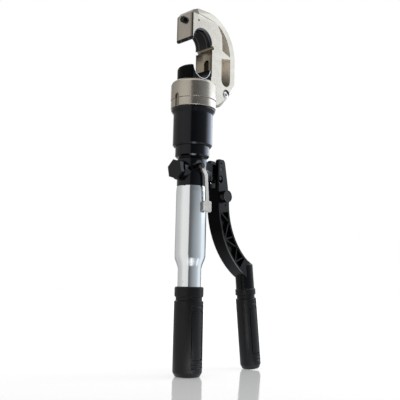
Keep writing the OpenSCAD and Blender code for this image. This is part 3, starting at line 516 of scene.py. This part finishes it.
def dress(node, width, angle=SHARP_ANGLE):
    """A copy of a CAD node with its sharp edges rounded, which stands for the node."""
    mesh = nodes[node].data.copy()
    mesh.name = node + "_skin"
    for attribute in [a.name for a in mesh.attributes if a.name == "custom_normal"]:
        mesh.attributes.remove(mesh.attributes[attribute])
    bm = bmesh.new()
    bm.from_mesh(mesh)
    bmesh.ops.remove_doubles(bm, verts=bm.verts, dist=SAME_POINT)
    bmesh.ops.dissolve_limit(bm, angle_limit=FLAT_ANGLE, use_dissolve_boundaries=False,
                             verts=bm.verts, edges=bm.edges)
    sharp = [e for e in bm.edges if len(e.link_faces) == 2 and
             e.calc_face_angle(0) > math.radians(angle)]
    if width:
        bmesh.ops.bevel(bm, geom=sharp, offset=width, offset_type="OFFSET", segments=2,
                        profile=0.5, affect="EDGES", clamp_overlap=True)
    bmesh.ops.triangulate(bm, faces=[f for f in bm.faces if len(f.verts) > 4])
    for f in bm.faces:
        f.smooth = True
    for e in bm.edges:
        e.smooth = not (len(e.link_faces) == 2 and e.calc_face_angle(0) > CREASE_ANGLE)
    bm.to_mesh(mesh)
    bm.free()
    piece = bpy.data.objects.new(node + "_skin", mesh)
    bpy.context.scene.collection.objects.link(piece)
    flat = piece.modifiers.new("flat faces stay flat", "WEIGHTED_NORMAL")
    flat.keep_sharp = True
    mesh.materials.clear()
    mesh.materials.append(finish_of[node])
    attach(piece, body_of[node])
    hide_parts(node)
    return piece


for name, shown in nodes.items():
    shown.data.materials.clear()
    shown.data.materials.append(finish_of[name])

# how far the edges of each piece are rounded, in metres
edge_width = {
    "main_grip": 0.0003, "moving_grip": 0.0003, "reservoir_tube": 0.0004, "pump_body": 0.0006,
    "valve_plug": 0.0006, "ram_cylinder": 0.0006, "c_head": 0.0006, "swivel_ring": 0.0004,
    "ram": 0.0006, "handle_arm": 0.0009, "arm_knob": 0.0005, "release_lever": 0.0006,
    "die_button": 0.0004, "plunger_gland": 0.0004, "pivot_pin": 0.0004, "link_pin": 0.0004,
    "lever_screw": 0.0003, "spine_screw": 0.0003, "plug_washer": 0.0002, "pump_plunger": 0.0003,
}
# pieces whose shallower edges are rounded too, from this angle up, in degrees
shallow_edges = {"main_grip": 14, "moving_grip": 14, "c_head": 20}
for name, width in edge_width.items():
    dress(name, width, shallow_edges.get(name, SHARP_ANGLE))


def spring(node):
    """A copy of the spring, with no edges rounded and with a mesh of its own."""
    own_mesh(dress(node, 0))


spring("return_spring")
spring("button_spring")


# floor, light and the studio round the object
# brightness of the studio by the angle from the camera's side, turning to its right: low down and high up
STUDIO_STOPS = [
    (-150, 0.34, 0.34), (-128, 0.56, 0.52), (-88, 0.62, 0.64), (-59, 0.88, 0.92),
    (-30, 0.86, 0.90), (-13, 0.84, 0.88), (-9, 0.13, 0.13), (2, 0.15, 0.13),
    (18, 0.27, 0.18), (45, 0.43, 0.30), (68, 0.57, 0.42), (83, 0.70, 0.62),
    (89, 0.94, 1.95), (117, 1.05, 2.1), (126, 0.78, 2.0), (150, 0.70, 1.6),
]
BEHIND_STOPS = [(180, 0.5, 0.5), (210, 0.34, 0.34)]
LAST_ANGLE = STUDIO_STOPS[-1][0]
FLOOR_STEP = 4
FLOOR_RADII = (0.02, 0.12, 0.2, 9)
NEAR_RADIUS = 0.15
NEAR_FLOOR = 0.95
FLOOR_GLOW = 0.17
FLOOR_DROP = 0.0002
# bright patches of the floor in the shine: angle, distance, reach, half width, level
FLOOR_SPOTS = [
    (20, 0.094, 0.028, 0.11, 17.0), (20, 0.170, 0.030, 0.11, 8.0), (16, 0.22, 0.22, 0.20, 0.95),
    (72, 0.30, 0.17, 0.11, 0.7), (22, 0.043, 0.024, 0.06, 2.0), (117, 0.130, 0.026, 0.06, 2.0),
]
SPOT_CORE = 0.3
WALL_RADIUS = 1.7
WALL_HEIGHTS = (-0.4, 0.38, 0.62, 2.2)
STRIP_RADIUS = 1.6
STRIP_ANGLES = (98, 110, 125, 140, 150)
STRIP_HEIGHTS = (0.57, 0.86)
STRIP_COLOUR = (0.86, 0.95, 1.12, 1)
STRIP_LEVEL = 4.2
LAMP_AIM = Vector((0.02, 0, 0.3))
WORLD_LEVEL = 0.42
WORLD_GAINS = (("Is Camera Ray", 0.58), ("Is Transmission Ray", 0.58), ("Is Glossy Ray", 0.78))
WARM, COOL = Vector((1.0, 0.995, 0.965)), Vector((0.92, 1.0, 1.06))
TO_CAMERA = Vector((-math.sin(FORWARD_AZIMUTH), -math.cos(FORWARD_AZIMUTH), 0))
TO_RIGHT = Vector((math.cos(FORWARD_AZIMUTH), -math.sin(FORWARD_AZIMUTH), 0))


def studio_direction(angle):
    a = math.radians(angle)
    return TO_CAMERA * math.cos(a) + TO_RIGHT * math.sin(a)


def studio_shade(angle, level):
    tint = WARM.lerp(COOL, min(max((angle + 10) / 20, 0), 1)) * level
    return (*tint, 1)


def add_mesh(name, bm):
    mesh = bpy.data.meshes.new(name)
    bm.to_mesh(mesh)
    bm.free()
    made = bpy.data.objects.new(name, mesh)
    bpy.context.scene.collection.objects.link(made)
    return made


def only_in_shine(made):
    made.visible_camera = False
    made.visible_diffuse = False
    made.visible_shadow = False
    made.visible_transmission = False


def shaded_rows(bm, places):
    """Strips between rows of points, each point with its own brightness."""
    shade = bm.verts.layers.float_color.new("shade")
    rows = []
    for row in places:
        made = []
        for place, colour in row:
            v = bm.verts.new(place)
            v[shade] = colour
            made.append(v)
        rows.append(made)
    for a, b in zip(rows, rows[1:]):
        for i in range(len(a) - 1):
            bm.faces.new((a[i], b[i], b[i + 1], a[i + 1]))
    return rows


def fine_stops(stops):
    """The same stops with more between them, so that the floor's edge is round."""
    fine = []
    for a, b in zip(stops, stops[1:]):
        parts = math.ceil((b[0] - a[0]) / FLOOR_STEP)
        fine += [tuple(p + (q - p) * i / parts for p, q in zip(a, b)) for i in range(parts)]
    return fine + [stops[-1]]


def distance_along(s, angle):
    """How far a point of the floor lies in a direction of the studio."""
    made = s.node("ShaderNodeVectorMath", operation="DOT_PRODUCT")
    s.link(s.coord.outputs["Object"], made.inputs[0])
    made.inputs[1].default_value = studio_direction(angle)
    return made.outputs["Value"]


def make_floor():
    """A pale floor; the object's metal sees it with the same lights and darks as the studio."""
    bm = bmesh.new()
    places = []
    for angle, low, _ in fine_stops(STUDIO_STOPS + BEHIND_STOPS):
        levels = [NEAR_FLOOR if r < NEAR_RADIUS else low for r in FLOOR_RADII]
        places.append([(studio_direction(angle) * r, studio_shade(min(angle, LAST_ANGLE), level))
                       for r, level in zip(FLOOR_RADII, levels)])
    rows = shaded_rows(bm, places)
    bm.faces.new([row[0] for row in reversed(rows[:-1])])
    bmesh.ops.remove_doubles(bm, verts=bm.verts, dist=1e-5)
    bmesh.ops.recalc_face_normals(bm, faces=bm.faces)
    if bm.faces[0].normal.z < 0:
        bmesh.ops.reverse_faces(bm, faces=bm.faces)
    floor = add_mesh("floor", bm)
    floor.location.z = -FLOOR_DROP
    s = Shader("pale_floor")
    path = s.node("ShaderNodeLightPath")
    s.set(Base_Color=(0.82, 0.82, 0.82), Roughness=0.07, IOR=1.45, Emission_Color=(1.0, 1.0, 1.0))
    glow = s.math("MULTIPLY", path.outputs["Is Camera Ray"], FLOOR_GLOW)
    s.link(glow, s.bsdf.inputs["Emission Strength"])
    lit = s.node("ShaderNodeAttribute", attribute_name="shade").outputs["Color"]
    for angle, middle, reach, half, level in FLOOR_SPOTS:
        along = s.size(s.math("SUBTRACT", distance_along(s, angle), middle))
        aside = s.size(distance_along(s, angle + 90))
        spot = s.both(s.spread(along, 1, 0, SPOT_CORE * reach, reach), s.spread(aside, 1, 0, 0, half))
        more = s.node("ShaderNodeVectorMath", operation="ADD")
        s.link(lit, more.inputs[0])
        s.link(s.math("MULTIPLY", s.math("POWER", spot, 2.0), level), more.inputs[1])
        lit = more.outputs["Vector"]
    emit = s.node("ShaderNodeEmission")
    s.link(lit, emit.inputs["Color"])
    mix = s.node("ShaderNodeMixShader")
    s.link(path.outputs["Is Glossy Ray"], mix.inputs["Fac"])
    s.link(s.bsdf.outputs["BSDF"], mix.inputs[1])
    s.link(emit.outputs["Emission"], mix.inputs[2])
    s.link(mix.outputs["Shader"], s.tree.nodes["Material Output"].inputs["Surface"])
    floor.data.materials.append(s.material)


make_floor()


def glowing(name, level=1.0):
    """A material that only glows, with the brightness of its points."""
    material = bpy.data.materials.new(name)
    material.use_nodes = True
    tree = material.node_tree
    tree.nodes.clear()
    out = tree.nodes.new("ShaderNodeOutputMaterial")
    emit = tree.nodes.new("ShaderNodeEmission")
    tree.links.new(emit.outputs["Emission"], out.inputs["Surface"])
    shade = tree.nodes.new("ShaderNodeAttribute")
    shade.attribute_name = "shade"
    tree.links.new(shade.outputs["Color"], emit.inputs["Color"])
    emit.inputs["Strength"].default_value = level
    return material


def make_wall():
    """A ring of grey and white reflectors, seen only in the shine of the metal."""
    bm = bmesh.new()
    places = []
    for angle, low, high in STUDIO_STOPS:
        out = studio_direction(angle) * WALL_RADIUS
        places.append([(out + Vector((0, 0, z)), studio_shade(angle, level))
                       for z, level in zip(WALL_HEIGHTS, (low, low, high, high))])
    shaded_rows(bm, places)
    wall = add_mesh("reflectors", bm)
    wall.data.materials.append(glowing("reflectors"))
    only_in_shine(wall)


def make_strip():
    """A bright strip at the right, which the black parts show as a highlight."""
    bm = bmesh.new()
    places = [[(studio_direction(angle) * STRIP_RADIUS + Vector((0, 0, z)), STRIP_COLOUR)
               for z in STRIP_HEIGHTS] for angle in STRIP_ANGLES]
    shaded_rows(bm, places)
    strip = add_mesh("bright_strip", bm)
    strip.data.materials.append(glowing("bright_strip", STRIP_LEVEL))
    only_in_shine(strip)


make_wall()
make_strip()


def area_light(name, angle, distance, height, width, tall, level, colour=(1, 1, 1)):
    data = bpy.data.lights.new(name, "AREA")
    data.shape = "RECTANGLE"
    data.size = width
    data.size_y = tall
    data.energy = level * math.pi * width * tall
    data.color = colour
    lamp = bpy.data.objects.new(name, data)
    bpy.context.scene.collection.objects.link(lamp)
    lamp.location = studio_direction(angle) * distance + Vector((0, 0, height))
    aim = LAMP_AIM - lamp.location
    lamp.rotation_euler = aim.to_track_quat("-Z", "Y").to_euler()
    lamp.visible_glossy = False


area_light("right_softbox", angle=104, distance=1.25, height=1.0, width=0.7, tall=1.1, level=2.0,
           colour=(0.95, 1.0, 1.03))
area_light("left_softbox", angle=-48, distance=1.5, height=0.7, width=1.1, tall=1.4, level=0.75,
           colour=(1.0, 0.99, 0.97))
area_light("top_softbox", angle=20, distance=0.3, height=1.7, width=1.2, tall=1.2, level=0.9)


def make_world():
    """White to the camera and in the shine, and a plainer light on the object."""
    world = bpy.data.worlds.new("studio")
    bpy.context.scene.world = world
    world.use_nodes = True
    tree = world.node_tree
    shine = tree.nodes["Background"]
    shine.inputs["Color"].default_value = (1, 1, 1, 1)
    path = tree.nodes.new("ShaderNodeLightPath")
    level = None
    for output, gain in WORLD_GAINS:
        add = tree.nodes.new("ShaderNodeMath")
        add.operation = "MULTIPLY_ADD"
        tree.links.new(path.outputs[output], add.inputs[0])
        add.inputs[1].default_value = gain
        if level is None:
            add.inputs[2].default_value = WORLD_LEVEL
        else:
            tree.links.new(level, add.inputs[2])
        level = add.outputs["Value"]
    tree.links.new(level, shine.inputs["Strength"])


make_world()
bpy.context.scene.view_settings.view_transform = "Standard"
